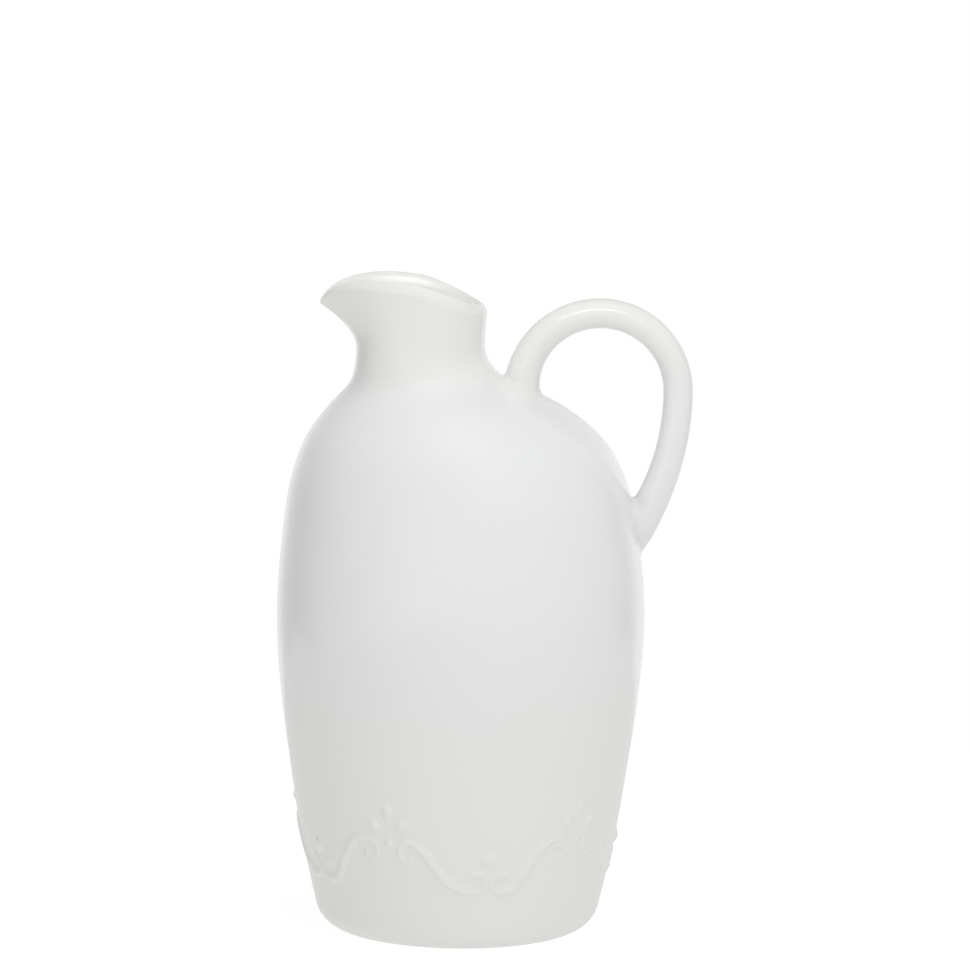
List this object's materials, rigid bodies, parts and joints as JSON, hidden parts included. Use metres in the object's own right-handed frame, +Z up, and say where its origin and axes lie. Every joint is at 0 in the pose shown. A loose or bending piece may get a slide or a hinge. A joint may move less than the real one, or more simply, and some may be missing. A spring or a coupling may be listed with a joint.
{
  "type": "ewer",
  "caption": "Tall white glazed ceramic ewer: round belly, neck leaning to a beak-shaped pouring lip, loop handle and a low relief band of scrolls and fleurs; it holds and pours water.",
  "frame": {"origin": "centre of the ring that the ewer stands on, on the axis of the belly, at ground level", "axes": "+Z up, -X toward the spout, +X toward the handle, the handle's loop lies in the XZ plane"},
  "size_m": [0.1648, 0.147, 0.2615],
  "materials": {
    "glaze": "white gloss glaze over a fired clay body"
  },
  "bodies": {
    "root": {"base": "glaze", "belly": "glaze", "shoulder": "glaze", "neck": "glaze", "handle": "glaze", "upper_handle_lute": "glaze", "lower_handle_lute": "glaze", "fleur_1": "glaze", "fleur_2": "glaze", "fleur_3": "glaze", "fleur_4": "glaze", "fleur_5": "glaze", "pearl_1": "glaze", "pearl_2": "glaze", "pearl_3": "glaze", "pearl_4": "glaze", "pearl_5": "glaze", "left_scroll_1": "glaze", "left_scroll_2": "glaze", "left_scroll_3": "glaze", "left_scroll_4": "glaze", "left_scroll_5": "glaze", "right_scroll_1": "glaze", "right_scroll_2": "glaze", "right_scroll_3": "glaze", "right_scroll_4": "glaze", "right_scroll_5": "glaze"}
  },
  "joints": []
}
